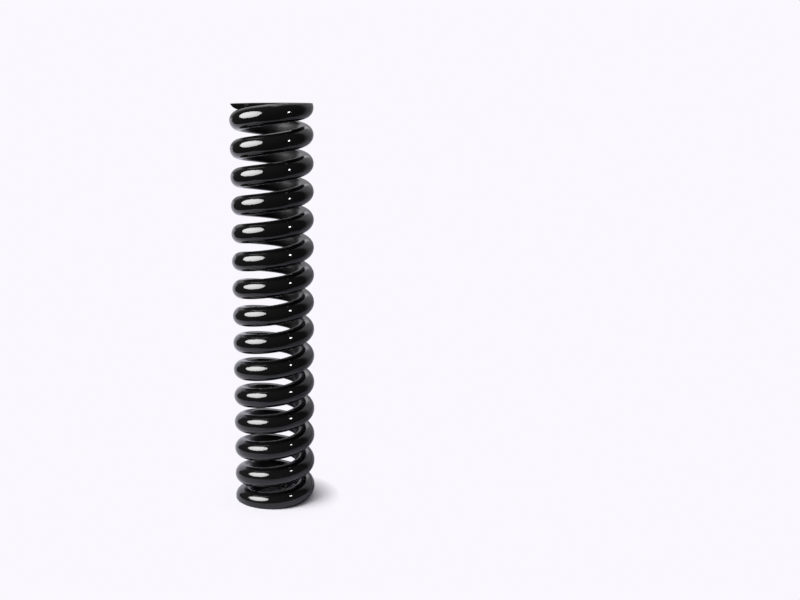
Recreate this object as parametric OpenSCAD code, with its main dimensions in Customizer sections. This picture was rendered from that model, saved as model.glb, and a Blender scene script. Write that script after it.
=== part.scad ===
// Crusher spring: a heavy compression spring wound from one round steel bar.
// It is right-handed, with both ends closed and ground flat, and stands on its lower end.
// The coil axis is Z, and the origin is on that axis in the plane of the lower ground face.

/* [Bar and coil] */
// Diameter of the bar the spring is wound from
bar_d = 25; // [23:0.5:27]
// Outside diameter of the coil
coil_od = 105; // [95:1:140]
// Height of the unloaded spring between its two ground faces
free_length = 515; // [480:5:570]
// Turns of the bar from one cut end to the other
turns = 15.35; // [15:0.01:15.6]

/* [Closed and ground ends] */
// Gap left between a cut end of the bar and the turn beside it
tip_gap = 0.8; // [0.5:0.1:2]
// Share of the bar's diameter that grinding leaves at a cut end
tip_share = 0.28; // [0.15:0.01:0.6]
// Direction in which the lower cut end lies, from +X
tip_angle = 60; // [0:1:359]

/* [Hidden] */

// Sides of the bar's section: two more than a multiple of four, so that the section has
// a flat side above and below, and a corner at the coil's outside and inside
bar_sides = 14;
rings_per_turn = 27;

bar_r = bar_d / 2;
coil_r = (coil_od - bar_d) / 2;

// The centre line of a cut end lies this far beyond the ground face
tip_sink = bar_r - tip_share * bar_d;

// A closed turn rises by one bar and the gap, with a slope that grows evenly up to the free pitch
closed_rise = bar_d + tip_gap;
free_pitch = (free_length + 2 * tip_sink - 2 * closed_rise) / (turns - 2);
tip_pitch = 2 * closed_rise - free_pitch;

// Rise of the centre line over the first u turns from a cut end, and its slope there in rise per turn
function rise(u) = u < 1
    ? tip_pitch * u + (free_pitch - tip_pitch) * u * u / 2
    : closed_rise + free_pitch * (u - 1);
function slope(u) = u < 1
    ? tip_pitch + (free_pitch - tip_pitch) * u
    : free_pitch;

// The upper half of the spring is the lower half turned over
function is_upper(u) = u > turns / 2;
function turns_from_end(u) = is_upper(u) ? turns - u : u;

// Depth of the centre line inside the nearer ground face, its height, and the lead angle of the coil
function depth(u) = rise(turns_from_end(u)) - tip_sink;
function height(u) = is_upper(u) ? free_length - depth(u) : depth(u);
function lead(u) = atan(slope(turns_from_end(u)) / (2 * PI * coil_r));

// Half the angle that the ground flat takes out of the section, or one plain side where there is none
function flat_half_angle(u) =
    let(reach = depth(u) / (bar_r * cos(lead(u))))
    max(180 / bar_sides, reach < 1 ? acos(reach) : 0);

// Angle of corner i of the section: 0 points away from the coil axis, 90 up
function corner_angle(u, i) =
    let(
        half = flat_half_angle(u),
        step = (360 - 2 * half) / (bar_sides - 1)
    )
    is_upper(u)
        ? 90 + half + (i + bar_sides / 2) % bar_sides * step
        : half - 90 + i * step;

// Place of corner i of the section, which is square to the bar
function corner(u, i) =
    let(
        turn = tip_angle + 360 * u,
        tilt = lead(u),
        out = [cos(turn), sin(turn), 0],
        up = [sin(turn) * sin(tilt), -cos(turn) * sin(tilt), cos(tilt)],
        angle = corner_angle(u, i)
    )
    coil_r * out + [0, 0, height(u)] + bar_r * (cos(angle) * out + sin(angle) * up);

// Skin of a bar, from the sections that follow each other along it
module swept_bar(sections) {
    sides = len(sections[0]);
    last = len(sections) - 1;
    points = [for (section = sections) each section];
    near_end = [for (i = [sides - 1:-1:0]) i];
    far_end = [for (i = [0:sides - 1]) last * sides + i];
    skin = [
        for (k = [0:last - 1])
            for (i = [0:sides - 1])
                let(j = (i + 1) % sides, here = k * sides, next = here + sides)
                [here + i, here + j, next + j, next + i]
    ];
    polyhedron(points, concat([near_end], skin, [far_end]));
}

// The whole spring: one bar, coiled, closed at both ends and ground
module coil_spring() {
    rings = ceil(turns * rings_per_turn);
    color([0.06, 0.06, 0.06])
        swept_bar([
            for (k = [0:rings])
                [for (i = [0:bar_sides - 1]) corner(turns * k / rings, i)]
        ]);
}

coil_spring();
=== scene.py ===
import math

import bpy
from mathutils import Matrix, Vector


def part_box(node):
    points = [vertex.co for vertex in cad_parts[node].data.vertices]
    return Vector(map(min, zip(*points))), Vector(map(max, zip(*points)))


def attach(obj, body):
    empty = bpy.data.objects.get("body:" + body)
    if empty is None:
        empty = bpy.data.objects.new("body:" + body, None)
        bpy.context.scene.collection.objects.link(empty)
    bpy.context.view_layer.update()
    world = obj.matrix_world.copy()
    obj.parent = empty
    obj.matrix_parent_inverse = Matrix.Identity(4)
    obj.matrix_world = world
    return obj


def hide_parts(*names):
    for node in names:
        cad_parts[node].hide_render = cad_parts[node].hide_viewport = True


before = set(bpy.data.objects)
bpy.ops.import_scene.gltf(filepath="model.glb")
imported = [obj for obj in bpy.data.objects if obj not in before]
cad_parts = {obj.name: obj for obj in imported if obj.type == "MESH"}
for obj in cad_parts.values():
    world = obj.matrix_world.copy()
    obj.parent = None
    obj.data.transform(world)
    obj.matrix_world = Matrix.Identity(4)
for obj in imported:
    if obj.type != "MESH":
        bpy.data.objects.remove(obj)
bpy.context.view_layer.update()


# Coil spring: one round bar of spring steel, wound hot into a right-hand coil. The last turn at each
# end is closed onto the next and ground flat, so that the spring stands, and the whole of it is then
# sprayed with gloss black enamel, which rounds off the edges that the grinding leaves.
coil_low, coil_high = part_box("coil_spring")
free_length = coil_high.z - coil_low.z
bar_diameter = 0.025
coil_diameter = 0.105
turns = 15.35
tip_gap = 0.0008
tip_share = 0.28
tip_angle = math.radians(60)
bar_sides = 42
rings_per_turn = 64

bar_radius = bar_diameter / 2
centre_line_radius = (coil_diameter - bar_diameter) / 2
tip_sink = bar_radius - tip_share * bar_diameter
closed_rise = bar_diameter + tip_gap
free_pitch = (free_length + 2 * tip_sink - 2 * closed_rise) / (turns - 2)
tip_pitch = 2 * closed_rise - free_pitch


def bar_section(wound):
    """Points round the bar, so many turns from its lower cut end. They spread evenly over the arc that
    the grinding leaves there, and the gap in that arc is the ground flat or one plain side of the bar."""
    is_upper = wound > turns / 2
    from_end = turns - wound if is_upper else wound
    if from_end < 1:
        rise = tip_pitch * from_end + (free_pitch - tip_pitch) * from_end**2 / 2
        slope = tip_pitch + (free_pitch - tip_pitch) * from_end
    else:
        rise = closed_rise + free_pitch * (from_end - 1)
        slope = free_pitch
    depth = rise - tip_sink
    lead = math.atan(slope / (2 * math.pi * centre_line_radius))
    reach = depth / (bar_radius * math.cos(lead))
    flat_half_angle = max(math.pi / bar_sides, math.acos(min(reach, 1)))
    step = (2 * math.pi - 2 * flat_half_angle) / (bar_sides - 1)
    flat_middle = math.pi / 2 if is_upper else -math.pi / 2
    first_side = bar_sides // 2 if is_upper else 0

    turned = tip_angle + 2 * math.pi * wound
    out = Vector((math.cos(turned), math.sin(turned), 0))
    along = Vector((-math.sin(turned), math.cos(turned), 0))
    up = Vector((0, 0, math.cos(lead))) - math.sin(lead) * along
    height = coil_high.z - depth if is_upper else coil_low.z + depth
    centre = centre_line_radius * out + Vector((0, 0, height))
    points = []
    for side in range(bar_sides):
        angle = flat_middle + flat_half_angle + (side + first_side) % bar_sides * step
        points.append(centre + bar_radius * (math.cos(angle) * out + math.sin(angle) * up))
    return points


# The bar is swept in code, because the ground flat has another size in each section of an end turn
rings = round(turns * rings_per_turn)
points = []
for ring in range(rings + 1):
    points += bar_section(turns * ring / rings)
cut_end = range(bar_sides)
faces = [list(cut_end), [rings * bar_sides + side for side in reversed(cut_end)]]
for ring in range(rings):
    for side in range(bar_sides):
        corner = ring * bar_sides + side
        beside = ring * bar_sides + (side + 1) % bar_sides
        faces.append((corner, corner + bar_sides, beside + bar_sides, beside))
bar = bpy.data.meshes.new("coil_spring_enamelled")
bar.from_pydata(points, [], faces)
spring = bpy.data.objects.new("coil_spring_enamelled", bar)
bpy.context.scene.collection.objects.link(spring)
bpy.ops.object.select_all(action="DESELECT")
bpy.context.view_layer.objects.active = spring
spring.select_set(True)

# The bar's skin is a little uneven, as rolling and hot winding leave it
skin_wave = 0.016
skin_depth = 0.00012
skin_unevenness = bpy.data.textures.new("rolled_bar", "CLOUDS")
skin_unevenness.noise_scale = skin_wave
skin_unevenness.noise_depth = 1
bpy.ops.object.modifier_add(type="DISPLACE")
rolled = spring.modifiers[-1]
rolled.texture = skin_unevenness
rolled.texture_coords = "LOCAL"
rolled.strength = skin_depth
rolled.mid_level = 0.5
bpy.ops.object.modifier_apply(modifier=rolled.name)

# Both end turns are ground level, and the edges that this leaves are broken
ground_within = 0.0002
least_level = 0.99
edge_break = 0.0004
sharp_edge = math.radians(28)
smooth_edge = math.radians(40)
for ground_height, outward in ((coil_low.z, -1), (coil_high.z, 1)):
    bpy.ops.object.mode_set(mode="EDIT")
    bpy.ops.mesh.select_mode(type="FACE")
    bpy.ops.mesh.select_all(action="DESELECT")
    bpy.ops.object.mode_set(mode="OBJECT")
    for face in spring.data.polygons:
        is_level = face.normal.z * outward > least_level
        face.select = is_level and abs(face.center.z - ground_height) < ground_within
    bpy.ops.object.mode_set(mode="EDIT")
    bpy.ops.transform.resize(value=(1, 1, 0), center_override=(0, 0, ground_height))
bpy.ops.mesh.select_mode(type="EDGE")
bpy.ops.mesh.select_all(action="DESELECT")
bpy.ops.mesh.edges_select_sharp(sharpness=sharp_edge)
bpy.ops.mesh.bevel(offset=edge_break, segments=2, affect="EDGES", clamp_overlap=False)
bpy.ops.object.mode_set(mode="OBJECT")
bpy.ops.object.shade_smooth_by_angle(angle=smooth_edge)
bpy.ops.object.modifier_add(type="WEIGHTED_NORMAL")
flat_ends = spring.modifiers[-1]
flat_ends.keep_sharp = True
bpy.ops.object.modifier_apply(modifier=flat_ends.name)


class Socket:
    """A node's output that takes part in sums as a number would: each sum adds a Math node."""

    def __init__(self, tree, output=None):
        self.tree = tree
        self.output = output

    def node(self, kind, settings=None, inputs=None, output=0):
        """Adds a node of any kind, with its settings and the values or links of its sockets."""
        made = self.tree.nodes.new("ShaderNode" + kind)
        for name, value in (settings or {}).items():
            setattr(made, name, value)
        for name, value in (inputs or {}).items():
            if isinstance(value, Socket):
                self.tree.links.new(value.output, made.inputs[name])
            else:
                made.inputs[name].default_value = value
        return Socket(self.tree, made.outputs[output])

    def between(self, start, end):
        """Rises smoothly from 0 to 1 while this goes from start to end."""
        settings = {"interpolation_type": "SMOOTHSTEP"}
        return self.node("MapRange", settings, {"Value": self, "From Min": start, "From Max": end})

    def maths(self, operation, first, second):
        return self.node("Math", {"operation": operation}, {0: first, 1: second})

    def __add__(self, other):
        return self.maths("ADD", self, other)

    def __radd__(self, other):
        return self.maths("ADD", other, self)

    def __sub__(self, other):
        return self.maths("SUBTRACT", self, other)

    def __rsub__(self, other):
        return self.maths("SUBTRACT", other, self)

    def __mul__(self, other):
        return self.maths("MULTIPLY", self, other)

    def __rmul__(self, other):
        return self.maths("MULTIPLY", other, self)

    def feed(self, node, name):
        self.tree.links.new(self.output, node.inputs[name])


def black_enamel():
    """Sprayed gloss black enamel: deep and even outside, with a faint orange peel, and dull with
    dry overspray on the inside of the coil, where the gun can't point."""
    deep_black = (0.0050, 0.0050, 0.0052, 1)
    thin_black = (0.0078, 0.0078, 0.0075, 1)
    dry_black = (0.017, 0.017, 0.0175, 1)
    inner_reach = (0.029, 0.037)
    ground_band = (free_length / 2 - 0.0006, free_length / 2 - 0.0002)
    grinding_grain = (25, 1100, 0)

    material = bpy.data.materials.new("black_enamel")
    material.use_nodes = True
    tree = material.node_tree
    shader = tree.nodes["Principled BSDF"]
    shader.inputs["IOR"].default_value = 1.5
    place = Socket(tree).node("TexCoord", output="Object")

    def noise(scale, detail):
        return place.node("TexNoise", None, {"Vector": place, "Scale": scale, "Detail": detail})

    flat_place = place.node("VectorMath", {"operation": "MULTIPLY"}, {0: place, 1: (1, 1, 0)})
    from_axis = place.node("VectorMath", {"operation": "LENGTH"}, {0: flat_place}, "Value")
    inside = 1 - from_axis.between(*inner_reach)
    middle = (0, 0, coil_low.z + free_length / 2)
    from_middle = place.node("VectorMath", {"operation": "SUBTRACT"}, {0: place, 1: middle})
    height = from_middle.node("SeparateXYZ", None, {0: from_middle}, "Z")
    ground = (height * height).between(ground_band[0] ** 2, ground_band[1] ** 2)
    across_wheel = place.node("VectorMath", {"operation": "MULTIPLY"}, {0: place, 1: grinding_grain})
    grinding = place.node("TexNoise", None, {"Vector": across_wheel, "Scale": 1, "Detail": 2})
    thin_spots = noise(45, 2)
    orange_peel = noise(300, 2)
    sag = noise(70, 1)
    dry_spray = noise(900, 3)
    colour = place.node(
        "Mix",
        {"data_type": "RGBA"},
        {0: thin_spots, 6: deep_black, 7: thin_black},
        output=2,
    )
    colour = place.node("Mix", {"data_type": "RGBA"}, {0: inside, 6: colour, 7: dry_black}, output=2)
    colour.feed(shader, "Base Color")
    roughness = 0.02 + 0.03 * thin_spots + 0.02 * orange_peel
    roughness = roughness + inside * (0.44 + 0.14 * dry_spray) + ground * (0.6 + 0.2 * grinding)
    roughness.feed(shader, "Roughness")
    film = 0.7 * orange_peel + 0.65 * sag + 0.15 * inside * dry_spray + 0.25 * ground * grinding
    bump = place.node("Bump", None, {"Strength": 0.6, "Distance": 0.0002, "Height": film})
    bump.feed(shader, "Normal")
    return material


spring.data.materials.clear()
spring.data.materials.append(black_enamel())
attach(spring, "root")
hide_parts("coil_spring")


# Floor: a sheet of pale studio paper on a table. It ends a short way in front of the spring and to its
# sides, where the room is dark, and sweeps up behind it, highest at its left. The raised back shows in
# the paint alone, so that it never hides the spring from the camera.
paper_front = -0.25
paper_bend = 0.45
front_ends = (-0.32, 0.5)
bend_ends = (-0.64, 1.0)
sweep_depth = 0.435
sweep_angle = math.radians(75)
sweep_steps = 10
pale_white = (0.956, 0.939, 0.991, 1)
# Painted light: in the paint, the paper's left side glows brighter, though no lamp is there
painted_glow_colour = (0.90, 0.89, 1.0, 1)
# Painted shade: in the paint, the paper greys away from the spring, as light falling off would make it
painted_near_light = (0.88, 0.88, 1.0, 1)
painted_far_shade = (0.42, 0.42, 0.48, 1)
shadow_reach = (0.046, 0.087)
painted_glow_reach = (-0.03, -0.13)
painted_falloff_reach = (0.06, 0.26)

# The raised back's columns from left to right: place at the bend, place at the top, height at the top
sweep_columns = (
    (bend_ends[0], -1.0, 0.58),
    (-0.42, -0.48, 0.53),
    (-0.28, -0.30, 0.34),
    (bend_ends[1], 1.0, 0.333),
)
column_steps = len(sweep_columns) - 1

bpy.ops.object.select_all(action="DESELECT")
bpy.ops.mesh.primitive_plane_add(size=1)
floor = bpy.context.object
floor.name = "studio_paper"
for vertex in floor.data.vertices:
    is_back = vertex.co.y > 0
    left_end, right_end = bend_ends if is_back else front_ends
    vertex.co.x = right_end if vertex.co.x > 0 else left_end
    vertex.co.y = paper_bend if is_back else paper_front
    vertex.co.z = coil_low.z
bpy.ops.object.select_all(action="DESELECT")
bpy.ops.mesh.primitive_grid_add(x_subdivisions=column_steps, y_subdivisions=sweep_steps, size=1)
raised_back = bpy.context.object
raised_back.name = "raised_paper"
for vertex in raised_back.data.vertices:
    at_bend, at_top, top_height = sweep_columns[round(column_steps * (vertex.co.x + 0.5))]
    risen = vertex.co.y + 0.5
    turned = sweep_angle * risen
    vertex.co.x = at_bend + (at_top - at_bend) * risen
    vertex.co.y = paper_bend + sweep_depth * math.sin(turned) / math.sin(sweep_angle)
    vertex.co.z = coil_low.z + top_height * (1 - math.cos(turned)) / (1 - math.cos(sweep_angle))
bpy.ops.object.shade_smooth()
raised_back.visible_camera = False
paper = bpy.data.materials.new("studio_paper")
paper.use_nodes = True
tree = paper.node_tree
tree.nodes.remove(tree.nodes["Principled BSDF"])
place = Socket(tree).node("TexCoord", output="Object")
from_axis = place.node("VectorMath", {"operation": "LENGTH"}, {0: place}, "Value")
near_foot = place.node(
    "MapRange",
    None,
    {
        "Value": from_axis,
        "From Min": shadow_reach[0],
        "From Max": shadow_reach[1],
        "To Min": 1.0,
        "To Max": 0.0,
    },
)
shaded_paper = place.node("BsdfDiffuse", None, {"Color": pale_white})
plain_paper = place.node("Emission", None, {"Color": pale_white})
paper_in_picture = place.node("MixShader", None, {0: near_foot, 1: plain_paper, 2: shaded_paper})
# Painted glow: towards its left, the paper shows in the paint as an even light of its own
painted_glow_side = place.node("SeparateXYZ", None, {0: place}, "X").between(*painted_glow_reach)
# Painted shade: farther from the spring, the paper turns a darker grey in the paint
painted_falloff = from_axis.between(*painted_falloff_reach)
painted_falloff_colour = place.node("Mix", {"data_type": "RGBA"}, {0: painted_falloff, 6: painted_near_light, 7: painted_far_shade}, output=2)
painted_falloff_in_gloss = place.node("BsdfDiffuse", None, {"Color": painted_falloff_colour})
painted_glow_in_gloss = place.node("Emission", None, {"Color": painted_glow_colour})
paper_in_gloss = place.node("MixShader", None, {0: painted_glow_side, 1: painted_falloff_in_gloss, 2: painted_glow_in_gloss})
seen_by_camera = place.node("LightPath", output="Is Camera Ray")
paper_shader = place.node("MixShader", None, {0: seen_by_camera, 1: paper_in_gloss, 2: paper_in_picture})
paper_shader.feed(tree.nodes["Material Output"], "Surface")
for sheet in (floor, raised_back):
    sheet.data.materials.append(paper)


# Room: a pale wall stands behind the spring, turned a little to its right. It gets brighter higher up
# and glows near its top, lower down towards the right. The rest of the room is dark, as far as a gloss
# surface shows it, and soft light comes from all of it.
soft_light = 0.2
dark_room = 0.07
wall_turn = math.radians(16)
wall_edges = (math.cos(math.radians(66)), math.cos(math.radians(39)))
wall_light = 0.33
wall_gain = 0.28
wall_heights = (0.05, 0.45)
glow_edges = (math.cos(math.radians(28)), math.cos(math.radians(10)))
glow_light = 1.2
glow_lean = 0.45
glow_heights = (0.42, 0.58)

room = bpy.data.worlds.new("studio")
bpy.context.scene.world = room
room.use_nodes = True
tree = room.node_tree
background = tree.nodes["Background"]
background.inputs["Color"].default_value = pale_white
direction = Socket(tree).node("TexCoord", output="Generated")
seen_by_camera = direction.node("LightPath", output="Is Camera Ray")
seen_in_gloss = direction.node("LightPath", output="Is Glossy Ray")
level = direction.node("VectorMath", {"operation": "MULTIPLY"}, {0: direction, 1: (1, 1, 0)})
level = level.node("VectorMath", {"operation": "NORMALIZE"}, {0: level})
wall_middle = (math.sin(wall_turn), math.cos(wall_turn), 0)
towards_wall = level.node("VectorMath", {"operation": "DOT_PRODUCT"}, {0: level, 1: wall_middle}, "Value")
up = direction.node("SeparateXYZ", None, {0: direction}, "Z")
wall = towards_wall.between(*wall_edges)
brightness = wall_light + wall_gain * up.between(*wall_heights)
straight_back = level.node("VectorMath", {"operation": "DOT_PRODUCT"}, {0: level, 1: (0, 1, 0)}, "Value")
to_right = direction.node("SeparateXYZ", None, {0: direction}, "X")
high_up = (up + glow_lean * to_right).between(*glow_heights)
glow = straight_back.between(*glow_edges) * high_up
in_gloss = dark_room + wall * brightness + glow_light * glow
elsewhere = (1 - seen_by_camera) * (1 - seen_in_gloss)
strength = seen_by_camera + seen_in_gloss * in_gloss + elsewhere * soft_light
strength.feed(background, "Strength")


# Lamps: a broad light from the upper left casts the shadow. An oval soft box on that side and a small
# lamp at the right show in the paint alone.
def lamp(name, kind, location, target):
    """A lamp that points at a place."""
    light = bpy.data.lights.new(name, kind)
    made = bpy.data.objects.new(name, light)
    bpy.context.scene.collection.objects.link(made)
    made.location = location
    made.rotation_euler = (Vector(target) - Vector(location)).to_track_quat("-Z", "Y").to_euler()
    made.visible_camera = False
    return made


def soft_box(name, location, target, width, height, radiance):
    """An oval soft box that is brightest in its middle, seen in gloss surfaces alone."""
    middle_light = 1.15
    edge_loss = 1.4

    made = lamp(name, "AREA", location, target)
    made.data.shape = "ELLIPSE"
    made.data.size = width
    made.data.size_y = height
    made.data.energy = radiance * math.pi * (math.pi / 4 * width * height)
    made.visible_diffuse = False
    made.data.use_nodes = True
    tree = made.data.node_tree
    place = Socket(tree).node("NewGeometry", output="Parametric")
    from_middle = place.node("VectorMath", {"operation": "DISTANCE"}, {0: place, 1: (0.5, 0.5, 0)}, "Value")
    falloff = middle_light - edge_loss * from_middle * from_middle
    falloff.feed(tree.nodes["Emission"], "Strength")
    return made


spring_middle = (0, 0, free_length / 2)
key_from = Vector((-1.2, -0.56, 1.9))
key = lamp("overhead_key", "SUN", key_from, (0, 0, 0))
key.data.angle = math.radians(35)
# With the soft light, this lights a level sheet to about its own colour
key.data.energy = (1 - soft_light) * math.pi * key_from.length / key_from.z
key.visible_glossy = False
soft_box("soft_box", (-0.89, -0.443, 0.95), (0, 0, 0.95), width=1.44, height=1.18, radiance=15)
soft_box("small_lamp", (0.456, -0.42, 0.57), spring_middle, width=0.065, height=0.17, radiance=40)


# Camera: at the photograph's place, a little above the spring's top and looking down on its foot. The
# picture is shifted sideways alone, as the photograph is framed.
image_width = 800
focal_pixels = 1083.6
centre_column = 310.3
camera_distance = 1.368
camera_height = 0.5431
camera_side = 0.0476
look_down = math.radians(11.465)
roll = math.radians(-0.2)

view = bpy.data.cameras.new("camera")
camera = bpy.data.objects.new("camera", view)
bpy.context.scene.collection.objects.link(camera)
camera.location = (camera_side, -camera_distance, camera_height)
camera.rotation_mode = "ZXY"
camera.rotation_euler = (math.pi / 2 - look_down, 0, roll)
view.sensor_width = 36
view.lens = view.sensor_width * focal_pixels / image_width
view.shift_x = (image_width / 2 - centre_column) / image_width
bpy.context.scene.camera = camera
bpy.context.scene.view_settings.view_transform = "Standard"
